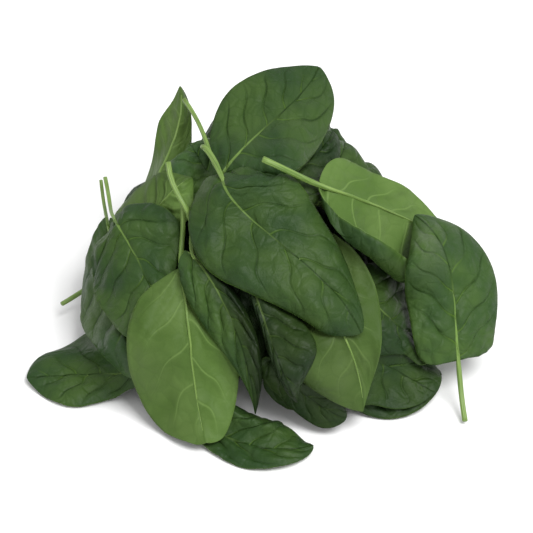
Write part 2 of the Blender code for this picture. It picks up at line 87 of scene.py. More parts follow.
# How finely each leaf is followed while it is laid down: points along and across it, cells in mm across the
# line of sight, and the controls and steps of its push.
LAY_ROWS = 73
LAY_COLUMNS = 49
CELL = 1.1
CELL_REACH = 110.0
LAY_CONTROLS = (10, 7)
LAY_STEPS = 22

# How finely the pieces are divided: along and across a blade, and along and round a stalk.
BLADE_DIVISIONS = (84, 52)
BACK_BLADE_DIVISIONS = (56, 36)
STALK_DIVISIONS = (34, 20)

# The buried mass inside the bed, in mm.
BURIED_CENTRE = (-3.0, 11.0)
BURIED_HALVES = (49.0, 38.0)
BURIED_HEIGHT = 50.0
BURIED_CRUMPLE = 1.5
BURIED_FOOT = 0.3

# Relief of a blade's upper side, in mm.
MIDRIB_GROOVE = 0.6
MIDRIB_GROOVE_WIDTH = 1.2
VEIN_GROOVE = 0.4
VEIN_GROOVE_WIDTH = 0.95
QUILTING = 0.75

# The broad waves of a blade and its small wrinkles: height in mm, number, and shortest and longest in mm.
Waves = namedtuple("Waves", "height count lengths")
UNEVENNESS = Waves(0.85, 5, (11.0, 30.0))
WRINKLES = Waves(0.2, 6, (4.5, 8.0))

# Side veins: how far up the blade they rise on their way to the margin, as a share of its length, how they
# bend, how much they wander, how far the lowest ones shift from leaf to leaf and between a leaf's halves.
VEIN_RISE = (0.26, 0.36)
VEIN_BEND = (1.0, 1.2)
VEIN_WANDER = 0.014
VEIN_SHIFT = (-0.12, 0.12)
VEIN_STAGGER = 0.45

# The midrib's radius at the base as a share of the stalk's, and at the tip in mm. Then by how many of its
# radii its middle lies under the blade, with the leaf's upper side in view and with its underside in view.
RIB_SHARE = 0.5
RIB_TIP_RADIUS = 0.1
RIB_SUNK = 0.9
RIB_SUNK_IN_VIEW = 0.55

# The groove along a stalk's upper side and the ridges round it, as shares of its radius.
STALK_GROOVE = 0.2
STALK_RIDGES = 0.05

# A leaf. Its spine runs from the base of the blade to its tip through four places (right, up, height), and
# its stalk on from the base to the cut end. Its width is in mm, and base and tip say how slowly it narrows to
# either end. In degrees, roll turns it about its spine at the base and at the tip; fold bends the halves to
# its left and right at the midrib, and curl bends them towards their margins, both towards the eye when
# positive. wave is the ripple of its margins: height in mm, number and phase. lobe is how far the blade
# reaches back beside the stalk, in mm. lie is 0 where it faces the eye and 1 where it lies along the bed.
# azimuth is the bearing of the line of sight that it is laid out across. under is True where its underside is
# towards the eye. left and right say how many times its usual width each half has at its base, a third and
# two thirds of the way along, and at its tip. veins is the number of side veins on each half, and the last
# pair lightens or darkens the left and the right half: partly the leaf's own tone, mostly painted shade on
# leaves in the heap's hollows and on halves turned from the light, and painted light on a few shaded halves.
Leaf = namedtuple(
    "Leaf",
    "name spine stalk width base tip roll fold curl wave lobe lie azimuth stalk_radius under left right "
    "veins tone",
    defaults=(
        *((), 34.0, 0.42, 0.55, (0.0, 0.0), (-8.0, -8.0), (-10.0, -10.0), (0.8, 1.6, 0.0), 2.5, 0.4, 0.0),
        *(STALK_RADIUS, False, (1.0, 1.0, 1.0, 1.0), (1.0, 1.0, 1.0, 1.0), 5, (1.0, 1.0)),
    ),
)

# The leaves that the front of the heap shows, from the bottom to the top, with the buried ones first. The
# pairs that lighten or darken their halves paint shade onto the buried leaves, the leaves in the heap's
# hollows and halves turned from the light, and paint light onto a few shaded halves.
FRONT_LEAVES = (
    Leaf(
        "buried_middle",
        spine=((-6, 2, BED), (-1, -11, BED), (4, -24, BED), (8, -35, 8)),
        width=26,
        tone=(0.5, 0.5),
    ),
    Leaf(
        "buried_right",
        spine=((26, 12, BED), (35, 2, BED), (42, -8, BED), (47, -18, BED)),
        width=28,
        tone=(0.5, 0.5),
    ),
    Leaf(
        "buried_left",
        spine=((-37, -8, BED), (-35, -20, BED), (-31, -32, BED), (-28, -42, 8)),
        width=28,
        tone=(0.5, 0.5),
    ),
    Leaf(
        "back_right_edge",
        spine=((17, 22, BED), (20.5, 29, BED), (24, 35, 50), (26, 41.5, 51)),
        width=27,
        tone=(0.9, 0.9),
        right=(1.1, 1.25, 1.2, 1.0),
    ),
    Leaf(
        "under_top_leaf",
        spine=((1, 25, BED), (9.5, 31.5, 54), (16, 37, 55), (22, 45, 55)),
        width=28,
        tone=(0.8, 0.6),
        right=(1.0, 0.9, 0.7, 0.6),
    ),
    Leaf(
        "tall_folded",
        spine=((-40.5, 20.5, 36), (-33.5, 35.5, 46), (-29.5, 46.5, 55), (-28.8, 60, 64)),
        width=27,
        tip=0.7,
        fold=(-56, -70),
        curl=(0, 0),
        lie=0.0,
        under=True,
        tone=(0.87, 0.66),
        left=(0.65, 0.52, 1.02, 0.95),
        right=(0.96, 1.26, 0.95, 1.14),
    ),
    Leaf(
        "behind_stalks",
        spine=((-14.8, 22, BED), (-18.5, 29, BED), (-22, 35, 52), (-25.5, 41, 50)),
        width=26,
        tone=(1.5, 1.5),
    ),
    Leaf(
        "below_top",
        spine=((-12, 30, 54), (-4, 38, 55), (4, 46, 55), (12, 55, 54)),
        width=30,
    ),
    Leaf(
        "top",
        spine=((-14.8, 30.8, 56), (-5, 42, 62), (6, 52, 66), (17.5, 66.5, 70)),
        width=37,
        lie=0.0,
        left=(0.44, 0.91, 0.95, 0.96),
        right=(0.99, 0.96, 0.96, 0.73),
    ),
    Leaf(
        "low_right_outer",
        spine=((26, -34, BED), (37, -34.3, BED), (48, -34.8, 6), (58.3, -36.6, 3)),
        width=33,
        tip=0.42,
        lie=1.0,
        tone=(0.75, 0.75),
    ),
    Leaf(
        "low_right_inner",
        spine=((24.5, -23.8, BED), (36.2, -30.5, 9), (46.2, -36, 6), (56, -42, 4)),
        width=38,
        lie=1.0,
        tone=(0.75, 0.75),
    ),
    Leaf(
        "low_middle_inner",
        spine=((6, -34.5, BED), (14.5, -40, 6), (20, -43.5, 4), (25.5, -47.5, 3)),
        width=22,
        lie=1.0,
        tone=(0.6, 0.6),
    ),
    Leaf(
        "low_middle",
        spine=((4, -31, BED), (10, -39.5, 7), (18, -46, 4), (26.5, -50.5, 2.5)),
        width=25,
        lie=1.0,
        tone=(0.5, 0.5),
        right=(0.95, 0.57, 0.67, 1.13),
    ),
    Leaf(
        "flat_left",
        spine=((-30, -34, 5), (-47, -35, 4), (-64, -36, 3), (-79.8, -37, 2.5)),
        width=33,
        lie=1.0,
        left=(0.63, 0.46, 0.93, 0.59),
        right=(0.86, 1.5, 1.58, 1.35),
    ),
    Leaf(
        "flat_front",
        spine=((-31, -45, 5), (-15, -55.5, 3), (1.5, -60.5, 3), (15.5, -59.5, 2.5)),
        width=25,
        tip=0.45,
        lie=1.0,
        wave=(0.4, 1.0, 0.0),
        left=(1.41, 1.23, 1.42, 1.44),
        right=(1.01, 0.58, 0.7, 0.48),
    ),
    Leaf(
        "stray_stalk",
        spine=((-57, -5.5, BED), (-50, -1, BED), (-43, 4, BED), (-36, 9, BED)),
        stalk=((-62.5, -9, 9), (-68.2, -12.5, 7)),
        width=22,
        base=0.9,
    ),
    Leaf(
        "right_shade",
        spine=((28, -4, BED), (38, -14.2, BED), (47.8, -22.8, BED), (57, -29.5, 14)),
        width=31,
        tone=(0.75, 0.75),
        right=(0.96, 1.22, 0.58, 1.26),
    ),
    Leaf(
        "left_outer",
        spine=((-53, 14, 32), (-51.5, -2.8, BED), (-48, -19.5, BED), (-43.8, -37.2, BED)),
        stalk=((-54.2, 21, 38), (-55.2, 28.8, 44)),
        width=32,
        stalk_radius=0.6,
        tone=(1.15, 1.15),
        right=(0.4, 0.98, 0.92, 0.91),
    ),
    Leaf(
        "behind_left",
        spine=((-42, 9, BED), (-37, 17, BED), (-32, 24, 47), (-25, 29.5, 51)),
        width=28,
        under=True,
        tone=(0.7, 1.1),
        left=(1.06, 1.04, 0.82, 0.69),
        right=(1.01, 0.72, 0.83, 0.51),
    ),
    Leaf(
        "left",
        spine=((-50.8, 15.5, 38), (-44.5, 4.8, 38), (-38.8, -7.8, BED), (-36.2, -26.2, BED)),
        stalk=((-52.4, 22, 42), (-53.8, 29.8, 48)),
        width=34,
        stalk_radius=0.65,
        left=(0.4, 1.05, 0.52, 0.93),
        right=(1.38, 1.16, 1.2, 1.57),
    ),
    Leaf(
        "right_front",
        spine=((7.8, 8.8, BED), (18.5, -9.5, BED), (27.8, -27.8, BED), (32.2, -48.2, 2.5)),
        width=37,
        curl=(50, -10),
        under=True,
        tone=(0.68, 0.55),
        left=(1.0, 0.97, 0.68, 0.05),
        right=(0.98, 1.07, 1.18, 1.23),
    ),
    Leaf(
        "middle_folded",
        spine=((-5.5, -4.5, BED), (-0.2, -19.5, BED), (4.2, -31.8, BED), (10.2, -45.2, 5)),
        width=29,
        tip=0.8,
        fold=(-10, -75),
        tone=(0.5, 0.38),
        left=(0.81, 0.7, 1.13, 0.37),
        right=(0.84, 0.49, 0.66, 0.98),
    ),
    Leaf(
        "under_main",
        spine=((-14, 29, BED), (0, 14, BED), (12, 0, BED), (22, -14, BED)),
        stalk=((-21, 44, 62), (-27.5, 55.8, 66)),
        width=28,
        stalk_radius=0.7,
    ),
    Leaf(
        "front_left",
        spine=((-28.5, -0.5, BED), (-26.2, -17.8, BED), (-23.8, -39.5, BED), (-20.2, -58.8, 2.5)),
        stalk=((-28.2, 8, BED), (-27.8, 20.5, 53)),
        width=38,
        base=0.7,
        tip=0.42,
        lobe=0.0,
        curl=(0, 0),
        under=True,
        veins=4,
        tone=(0.98, 0.76),
        left=(1.02, 0.9, 0.75, 0.64),
        right=(2.0, 1.36, 1.03, 0.57),
    ),
    Leaf(
        "front_hooked",
        spine=((-25.5, 4.8, BED), (-14.8, -11.2, BED), (-7.8, -27.8, BED), (-3.8, -49.2, 6)),
        stalk=((-24.8, 13.2, BED), (-27.5, 20.5, BED), (-32.8, 34.8, 58)),
        width=29,
        tip=1.0,
        fold=(-65, -35),
        tone=(0.3, 1.1),
        left=(1.1, 0.68, 1.07, 1.4),
        right=(1.03, 0.89, 0.71, 0.11),
    ),
    Leaf(
        "main",
        spine=((-14.8, 30.2, BED), (-1.5, 12.8, BED), (15.2, -1.2, BED), (31.5, -22.2, BED)),
        stalk=((-21.2, 39.8, 60),),
        width=42,
        fold=(-6, -6),
        curl=(-20, -20),
        stalk_radius=1.0,
        tone=(0.97, 0.93),
        left=(0.9, 1.0, 0.66, 0.42),
        right=(0.7, 1.06, 0.84, 1.3),
    ),
    Leaf(
        "right_upturned",
        spine=((19.5, 26.2, 54), (34.5, 20.8, 46), (48, 15, 38), (60, 8.5, 32)),
        stalk=((8, 31.5, 58), (-1.2, 35.8, 62)),
        width=38,
        curl=(0, 180),
        lie=0.2,
        under=True,
        veins=4,
        stalk_radius=1.05,
        left=(1.15, 0.58, 0.56, 0.36),
        right=(1.25, 1.6, 2.1, 3.8),
    ),
    Leaf(
        "right_hanging",
        spine=((64, -31.2, 14), (63, -17.2, 26), (60.5, 1, 37), (49.5, 17, 43)),
        stalk=((64.9, -42, 7), (66.2, -51.5, 1.8)),
        width=33,
        base=0.12,
        fold=(-4, -24),
        curl=(-20, -30),
        lobe=1.0,
        lie=0.0,
        tone=(1.12, 1.2),
        left=(0.85, 0.97, 1.2, 1.1),
        right=(1.0, 1.1, 1.3, 0.55),
    ),
)

# The leaves round the back are placed by a rule, in rings from the table up: how many, between which bearings
# in degrees, how far up across the line of sight their middles lie, in mm, how they are turned from straight
# down and how far that sways, in degrees, how much shorter they look upright than sideways, their lengths in
# mm, and how many of them in ten may have a stalk that shows.
BackRing = namedtuple("BackRing", "count bearings middle turn sway squash lengths stalks")
BACK_RINGS = (
    BackRing(7, (108.0, 238.0), -48.0, turn=80.0, sway=45.0, squash=0.75, lengths=(44.0, 56.0), stalks=5),
    BackRing(7, (98.0, 246.0), -31.0, turn=0.0, sway=75.0, squash=1.0, lengths=(56.0, 68.0), stalks=6),
    BackRing(5, (152.0, 194.0), -12.0, turn=0.0, sway=80.0, squash=1.0, lengths=(43.0, 55.0), stalks=7),
)

# Their widths in mm, the shares of their length at which spine and stalk are placed from the middle, how far
# up a stalk may end, in mm, the share of them that lie upside down, how light they are, and the rule's seed.
BACK_WIDTHS = (29.0, 39.0)
BACK_SPINE = (-0.4, -0.13, 0.13, 0.4)
BACK_STALK = (-0.62, -0.84)
BACK_STALK_TOP = -2.0
BACK_UNDER = 0.2
BACK_TONE = (0.8, 0.8)
BACK_SEED = 13

# The look of one side of a leaf. First the colours of the darker and lighter green, side veins, midrib, the
# painted shade in the creases along side veins and midrib, and the net. Then the widths of midrib and veins
# in mm. Then how strongly the midrib shows and between which shares of the length it fades, the same for the
# side veins on the way to the margin, and how strongly the painted shade in the creases along them and the
# net show.
# Last the roughness, and the depth of the fine relief in mm.
LeafLook = namedtuple(
    "LeafLook",
    "dark light vein rib shadow net_colour midrib_width vein_width midrib rib_fades veins veins_fade crease "
    "net roughness bump",
)

UPPER_LOOK = LeafLook(
    dark=(0.016, 0.040, 0.012, 1.0),
    light=(0.041, 0.079, 0.016, 1.0),
    vein=(0.070, 0.135, 0.018, 1.0),
    rib=(0.125, 0.205, 0.048, 1.0),
    shadow=(0.009, 0.027, 0.002, 1.0),
    net_colour=(0.014, 0.040, 0.003, 1.0),
    midrib_width=0.62,
    vein_width=0.34,
    midrib=0.85,
    rib_fades=(0.2, 0.6),
    veins=0.5,
    veins_fade=(0.0, 0.45),
    crease=0.8,
    net=0.27,
    roughness=0.42,
    bump=0.45,
)

UNDER_LOOK = LeafLook(
    dark=(0.055, 0.108, 0.018, 1.0),
    light=(0.098, 0.165, 0.040, 1.0),
    vein=(0.145, 0.230, 0.062, 1.0),
    rib=(0.200, 0.300, 0.085, 1.0),
    shadow=(0.040, 0.088, 0.012, 1.0),
    net_colour=(0.052, 0.105, 0.018, 1.0),
    midrib_width=0.7,
    vein_width=0.32,
    midrib=0.7,
    rib_fades=(0.3, 1.0),
    veins=0.5,
    veins_fade=(0.3, 1.0),
    crease=0.3,
    net=0.2,
    roughness=0.48,
    bump=0.2,
)

STALK_DARK = (0.075, 0.145, 0.022, 1.0)
STALK_LIGHT = (0.185, 0.280, 0.068, 1.0)
# The buried mass: greens darkened far below a leaf's own as painted shade.
BURIED_DARK = (0.006, 0.020, 0.003, 1.0)
BURIED_LIGHT = (0.014, 0.038, 0.006, 1.0)
BURIED_VEIN = (0.03, 0.07, 0.015, 1.0)
FLOOR_WHITE = (0.86, 0.86, 0.86, 1.0)

# How strongly the skin of a leaf and of the rest mirrors.
LEAF_IOR = 1.3
LEAF_SHEEN_LEVEL = 0.3
STALK_IOR = 1.4

# The floor's side in metres, the strength of the light from all round, and the lamp in front to the right:
# its place and size in metres, and its power in watts.
FLOOR_SIZE = 8.0
WORLD_STRENGTH = 0.82
LAMP_PLACE = (0.45, -0.5, 1.2)
LAMP_SIZE = 0.7
LAMP_POWER = 19.0


class Sight:
    """Places across one line of sight: right, up and near, which grows towards the eye."""

    def __init__(self, azimuth):
        turn, rise = math.radians(azimuth), math.radians(SIGHT_ELEVATION)
        self.back = np.array(
            [math.sin(turn) * math.cos(rise), -math.cos(turn) * math.cos(rise), math.sin(rise)]
        )
        self.right = np.array([math.cos(turn), math.sin(turn), 0.0])
        self.up = np.cross(self.back, self.right)
        self.target = np.array([0.0, 0.0, SIGHT_TARGET_HEIGHT])

    def seen(self, points):
        """World points as (right, up, near)."""
        offset = points - self.target
        near = offset @ self.back
        grow = SIGHT_DISTANCE / (SIGHT_DISTANCE - near)
        return np.stack([offset @ self.right * grow, offset @ self.up * grow, near], axis=-1)

    def world(self, seen):
        """The world points of (right, up, near)."""
        seen = np.asarray(seen, float)
        shrink = (SIGHT_DISTANCE - seen[..., 2:]) / SIGHT_DISTANCE
        across = seen[..., :1] * self.right + seen[..., 1:2] * self.up
        return self.target + across * shrink + seen[..., 2:] * self.back

    def near_at_height(self, up, height):
        """How near the line of sight through that place is where it reaches a height above the table."""
        rise = up * self.up[2]
        return (height - SIGHT_TARGET_HEIGHT - rise) / (self.back[2] - rise / SIGHT_DISTANCE)

    def place(self, right, up, height):
        """One world point from its place across the line of sight and its height."""
        if height is BED:
            height = self.height_on_bed(right, up)
        return self.world((right, up, self.near_at_height(up, height)))

    def height_on_bed(self, right, up):
        """The height at which the line of sight through that place first meets the bed, or else 0."""
        for height in np.linspace(BED_HEIGHT, 0.0, 150):
            x, y, _ = self.world((right, up, self.near_at_height(up, height)))
            if bed_height(x, y) >= height:
                return height
        return 0.0


def bed_height(x, y):
    """The height of the bed above a place on the table."""
    across = (x - BED_CENTRE[0]) / BED_HALF_WIDTH
    deep = (y - BED_CENTRE[1]) / BED_HALF_DEPTH
    return BED_HEIGHT * np.clip(1.0 - across**2 - deep**2, 0.0, None) ** BED_FULLNESS


def unit(vectors):
    return vectors / np.linalg.norm(vectors, axis=-1, keepdims=True)


def resting_normal(points):
    """The way a leaf faces when it lies on the bed there, or straight up where it lies on the table."""
    (x, y, z), reach = np.moveaxis(points, -1, 0), 8.0
    on_bed = np.clip((z - 5.0) / 10.0, 0.0, 1.0)
    across = on_bed * (bed_height(x - reach, y) - bed_height(x + reach, y))
    deep = on_bed * (bed_height(x, y - reach) - bed_height(x, y + reach))
    return unit(np.stack([across, deep, np.full_like(x, 2 * reach)], axis=-1))


def curve_through(knots, points, share):
    """A smooth curve that comes through each point at its knot, at each share of its length."""
    curve = np.zeros((len(share), points.shape[1]))
    for i, knot in enumerate(knots):
        weight = np.ones(len(share))
        for other in np.delete(knots, i):
            weight = weight * (share - other) / (knot - other)
        curve += weight[:, None] * points[i]
    return curve


def through(points, share):
    """A smooth curve through the points, at each share of its length."""
    points = np.asarray(points, float)
    lengths = np.linalg.norm(np.diff(points, axis=0), axis=1)
    return curve_through(np.concatenate([[0.0], np.cumsum(lengths)]) / lengths.sum(), points, share)


def half_width(leaf, along, across):
    """The width of the blade's half at each place: rows from base to tip, columns from left to right."""
    widest = leaf.base / (leaf.base + leaf.tip)
    most = widest**leaf.base * (1.0 - widest) ** leaf.tip
    usual = 0.5 * leaf.width * along**leaf.base * (1.0 - along) ** leaf.tip / most
    times = curve_through(np.linspace(0.0, 1.0, 4), np.array([leaf.left, leaf.right]).T, along)
    return usual[:, None] * np.where(across < 0, times[:, :1], times[:, 1:])


def cross_section(fold, curl, out):
    """How far across and off its plane the blade lies, at each share of the way out to the margin."""
    steps = np.linspace(0.0, 1.0, 41)
    angle = np.radians(fold * np.clip(steps / 0.2, 0.0, 1.0) + curl * steps**2)
    middle = (angle[1:] + angle[:-1]) / 2
    across = np.concatenate([[0.0], np.cumsum(np.cos(middle))]) * steps[1]
    off = np.concatenate([[0.0], np.cumsum(np.sin(middle))]) * steps[1]
    return np.interp(out, steps, across), np.interp(out, steps, off)


def draws(leaf):
    """The leaf's own random numbers, the same in each run."""
    return np.random.default_rng(sum(leaf.name.encode()) * 7 + len(leaf.name))


def spine_length(leaf):
    """The blade's length in mm."""
    places = [Sight(leaf.azimuth).place(*place) for place in leaf.spine]
    return np.linalg.norm(np.diff(places, axis=0), axis=1).sum()


def flat_place(leaf, along, across):
    """Where each point lies on the flattened leaf, in mm: across from the midrib, along from the base."""
    sideways = half_width(leaf, along, across) * across
    return sideways, np.broadcast_to(along[:, None] * spine_length(leaf), sideways.shape)


def side_veins(leaf, along, across):
    """A number that is whole on each side vein, the mm between two veins, and how strong they are."""
    draw = draws(leaf)
    rise, bend, phase, shift = draw.uniform(*zip(VEIN_RISE, VEIN_BEND, (0.0, 6.0), VEIN_SHIFT))
    out = np.abs(across)[None, :]
    share = along[:, None]
    steps = leaf.veins * 1.12
    wander = VEIN_WANDER * np.sin(9 * out + 9 * share + phase + 2 * (across > 0))
    place = share - rise * out**bend + wander
    coordinate = steps * place + 0.62 + shift + VEIN_STAGGER * (across > 0)
    half = np.maximum(half_width(leaf, along, across), 1.0)
    slope = np.hypot(steps / spine_length(leaf), steps * rise * bend * out ** (bend - 1) / half)
    strength = np.clip((coordinate - 0.55) / 0.3, 0, 1) * np.clip((0.97 - out) / 0.22, 0, 1)
    return coordinate, 1.0 / slope, strength * np.clip((1.02 - share) / 0.25, 0, 1)


def waves(draw, kind, sideways, lengthwise):
    """The length in mm and the phase over the blade of each wave of one kind."""
    shortest, longest = kind.lengths
    for _ in range(kind.count):
        length, turn, start = draw.uniform((shortest, 0.0, 0.0), (longest, 2 * np.pi, 2 * np.pi))
        phase = (sideways * np.cos(turn) + lengthwise * np.sin(turn)) * 2 * np.pi / length + start
        yield length, phase


def relief(leaf, along, across):
    """How far the blade's surface stands towards the eye from a plain sheet, in mm."""
    sideways, lengthwise = flat_place(leaf, along, across)
    coordinate, gap, strength = side_veins(leaf, along, across)
    out, share = np.abs(across), along[:, None]
    from_vein = np.abs(coordinate - np.round(coordinate)) * gap
    veins = strength * np.exp(-((from_vein / VEIN_GROOVE_WIDTH) ** 2)) * np.clip(1.2 - out, 0, 1)
    midrib = np.exp(-((sideways / MIDRIB_GROOVE_WIDTH) ** 2)) * (1.0 - 0.6 * share)
    pillows = np.sin(np.pi * coordinate) ** 2 * np.clip(out / 0.3, 0, 1)
    pillows = pillows * np.clip((1.0 - out) / 0.35, 0, 1)
    sheet = QUILTING * pillows * np.sin(np.pi * share) - VEIN_GROOVE * veins - MIDRIB_GROOVE * midrib
    draw = draws(leaf)
    for length, phase in waves(draw, UNEVENNESS, sideways, lengthwise):
        height = UNEVENNESS.height * (length / UNEVENNESS.lengths[1]) ** 1.3
        sheet = sheet + height * np.sin(phase) * out**0.5
    for _, phase in waves(draw, WRINKLES, sideways, lengthwise):
        crumple = np.sin(phase + 1.5 * np.sin(0.5 * phase)) * (1.0 - share)
        sheet = sheet + WRINKLES.height * crumple * out**0.5
    return -sheet if leaf.under else sheet


def blade(leaf, along, across):
    """World points of the blade before it is laid: rows from base to tip, columns from left to right."""
    sight = Sight(leaf.azimuth)
    spine = through([sight.place(*place) for place in leaf.spine], along)
    ahead = unit(np.gradient(spine, along, axis=0))
    facing = unit((1.0 - leaf.lie) * sight.back + leaf.lie * resting_normal(spine))
    side = unit(np.cross(ahead, facing))
    face = np.cross(side, ahead)
    roll = np.radians(np.interp(along, (0.0, 1.0), leaf.roll))[:, None]
    side, face = (
        side * np.cos(roll) + face * np.sin(roll),
        face * np.cos(roll) - side * np.sin(roll),
    )
    out = np.abs(across)
    left, left_off = cross_section(leaf.fold[0], leaf.curl[0], out)
    right, right_off = cross_section(leaf.fold[1], leaf.curl[1], out)
    sideways = np.where(across < 0, -left, right)
    off = np.where(across < 0, left_off, right_off)
    half = half_width(leaf, along, across)
    height, count, phase = leaf.wave
    fullness = half * 2 / leaf.width
    swing = np.sin(2 * np.pi * count * along[:, None] + phase + 1.7 * (across > 0))
    ripple = height * out**2 * swing * fullness
    ripple = ripple + relief(leaf, along, across) * np.clip(fullness * 3, 0, 1)
    lobe = -leaf.lobe * out**2 * (1.0 - along[:, None]) ** 6 * (along[:, None] > 0)
    return (
        spine[:, None]
        + side[:, None] * (half * sideways)[..., None]
        + face[:, None] * (half * off + ripple)[..., None]
        + ahead[:, None] * lobe[..., None]
    )


def rib_radius(leaf, along):
    """The radius of the midrib on the underside of the blade, in mm."""
    return RIB_SHARE * leaf.stalk_radius * (1.0 - along) ** 0.7 + RIB_TIP_RADIUS


def spline_weights(share, controls):
    """How much each of the evenly spaced controls counts in a smooth curve, at each share of its length."""
    place = share[..., None] * (controls - 3) - (np.arange(controls) - 1)
    distance = np.abs(place)
    inner = 2 / 3 - distance**2 + distance**3 / 2
    outer = np.clip(2 - distance, 0.0, None) ** 3 / 6
    return np.where(distance < 1, inner, outer)


def blade_weights(leaf, along, across):
    """How much each control of the push counts at each point of the blade."""
    sideways, _ = flat_place(leaf, along, across)
    rows = spline_weights(along, LAY_CONTROLS[0])
    columns = spline_weights(np.clip(0.5 + sideways / leaf.width, 0.0, 1.0), LAY_CONTROLS[1])
    return (rows[:, None, :, None] * columns[:, :, None, :]).reshape(len(along), len(across), -1)


def smooth_push(needed, weights):
    """The controls of a smooth push that just clears what is needed everywhere."""
    needed = needed.reshape(-1)
    weights = weights.reshape(len(needed), -1)
    push = np.full(weights.shape[1], min(0.0, needed.max()))
    for _ in range(LAY_STEPS):
        short = np.clip(needed - weights @ push, 0.0, None)
        push += (short[:, None] * weights).max(axis=0) / weights.max()
    return push


class Pile:
    """What has been laid so far, as points on its surfaces."""

    def __init__(self):
        x, y = np.meshgrid(np.arange(-65.0, 65.0), np.arange(-65.0, 65.0))
        z = bed_height(x, y)
        self.points = [np.stack([x, y, z], axis=-1)[z > 0]]

    def near(self, sight, seen):
        """How near the pile or the table comes along the lines of sight through those places."""
        cells = int(2 * CELL_REACH / CELL)
        laid = sight.seen(np.concatenate(self.points))
        nearest = np.full((cells + 2, cells + 2), -1e3)
        np.maximum.at(nearest[1:-1, 1:-1], self.cell(laid, cells), laid[:, 2])
        shifts = [nearest[i : i + cells, j : j + cells] for i in range(3) for j in range(3)]
        spread = np.max(shifts, axis=0)
        table = sight.near_at_height(seen[..., 1], TABLE_CLEARANCE) - LAYER_GAP
        return np.maximum(spread[self.cell(seen, cells)], table)

    def cell(self, seen, cells):
        index = ((seen[..., :2] + CELL_REACH) / CELL).astype(int)
        return tuple(np.moveaxis(np.clip(index, 0, cells - 1), -1, 0))

    def lay(self, leaf):
        """Lays a leaf on the pile. Gives a function for the blade's points, and the stalk's line."""
        sight = Sight(leaf.azimuth)
        along = np.linspace(0.0, 1.0, LAY_ROWS)
        across = np.linspace(-1.0, 1.0, LAY_COLUMNS)
        seen = sight.seen(blade(leaf, along, across))
        sideways, _ = flat_place(leaf, along, across)
        rib = 1.4 * rib_radius(leaf, along)[:, None] * np.exp(-((sideways / 1.6) ** 2))
        below, above = (0.0, rib) if leaf.under else (rib, 0.0)
        needed = self.near(sight, seen) + LAYER_GAP + below - seen[..., 2]
        controls = smooth_push(needed, blade_weights(leaf, along, across))

        def laid_blade(along, across):
            seen = sight.seen(blade(leaf, along, across))
            seen[..., 2] += blade_weights(leaf, along, across) @ controls
            return sight.world(seen)

        stalk = self.lay_stalk(leaf, sight, laid_blade) if leaf.stalk else None
        top = sight.seen(laid_blade(along, across))
        top[..., 2] += above
        self.points.append(sight.world(top).reshape(-1, 3))
        if stalk is not None:
            self.points.append(stalk + sight.back * leaf.stalk_radius)
        return laid_blade, stalk

    def lay_stalk(self, leaf, sight, laid_blade):
        """The stalk's line, from just inside the blade to its cut end, laid over the pile."""
        inside = laid_blade(np.array([0.0, 0.02, 0.12]), np.array([0.0]))[1:, 0][::-1]
        places = [sight.place(*place) for place in leaf.stalk]
        share = np.linspace(0.0, 1.0, 41)
        line = sight.seen(through([*inside, *places], share))
        needed = self.near(sight, line) + LAYER_GAP + leaf.stalk_radius - line[:, 2]
        needed[share < 0.3] = 0.0
        weights = spline_weights(share, 6) * share[:, None]
        line[:, 2] += weights @ smooth_push(np.clip(needed, 0.0, None), weights)
        return sight.world(line)


def back_leaves():
    """The leaves round the back of the heap, the lowest ring first."""
    draw = np.random.default_rng(BACK_SEED)
    draw_look = np.random.default_rng(BACK_SEED + 1)
    for ring in BACK_RINGS:
        for number, bearing in enumerate(np.linspace(*ring.bearings, ring.count)):
            turned_about = 180 * (number % 3 == 1)
            turn = math.radians(ring.turn + draw.uniform(-ring.sway, ring.sway) + turned_about)
            ahead = np.array([math.sin(turn), -math.cos(turn) * ring.squash]) * draw.uniform(*ring.lengths)
            aside = np.array([-ahead[1], ahead[0]]) * draw.uniform(-0.35, 0.35)
            middle = np.array([draw.uniform(-6, 6), ring.middle + draw.uniform(-4, 4)])
            line = [middle + ahead * share + aside * share**2 for share in (*BACK_SPINE, *BACK_STALK)]
            places = tuple((*place, BED) for place in line)
            shows_stalk = draw_look.uniform(0, 10) < ring.stalks and line[-1][1] < BACK_STALK_TOP
            yield Leaf(
                f"back_{round(bearing)}_{round(-ring.middle)}",
                spine=places[:4],
                stalk=places[4:] if shows_stalk else (),
                width=draw.uniform(*BACK_WIDTHS),
                base=draw.uniform(0.34, 0.55),
                tip=draw.uniform(0.45, 0.75),
                roll=tuple(draw.uniform(-15, 15, 2)),
                fold=tuple(draw.uniform(-25, 6, 2)),
                curl=tuple(draw.uniform(-35, 15, 2)),
                wave=(1.2, 2.0, draw.uniform(0, 6)),
                azimuth=bearing,
                lie=0.85,
                tone=BACK_TONE,
                stalk_radius=draw_look.uniform(0.85, 1.2),
                under=draw_look.uniform() < BACK_UNDER,
            )


def grid_piece(name, points, layers):
    """A grid with each point moved to its place, in mm, and its layers of values along and across it."""
    rows, columns = points.shape[:2]
    bpy.ops.object.select_all(action="DESELECT")
    bpy.ops.mesh.primitive_grid_add(x_subdivisions=columns - 1, y_subdivisions=rows - 1, size=2.0)
    piece = bpy.context.object
    piece.name = piece.data.name = name
    corners = np.empty(len(piece.data.vertices) * 3)
    piece.data.vertices.foreach_get("co", corners)
    corners = (corners.reshape(-1, 3) + 1.0) / 2.0
    order = (corners[:, 1] * (rows - 1)).round() * columns + (corners[:, 0] * (columns - 1)).round()
    order = order.astype(int)
    piece.data.vertices.foreach_set("co", (points.reshape(-1, 3)[order] * MM).ravel())
    for label, values in layers.items():
        layer = piece.data.attributes.new(label, "FLOAT_VECTOR", "POINT")
        layer.data.foreach_set("vector", values.reshape(-1, 3)[order].ravel())
    return piece


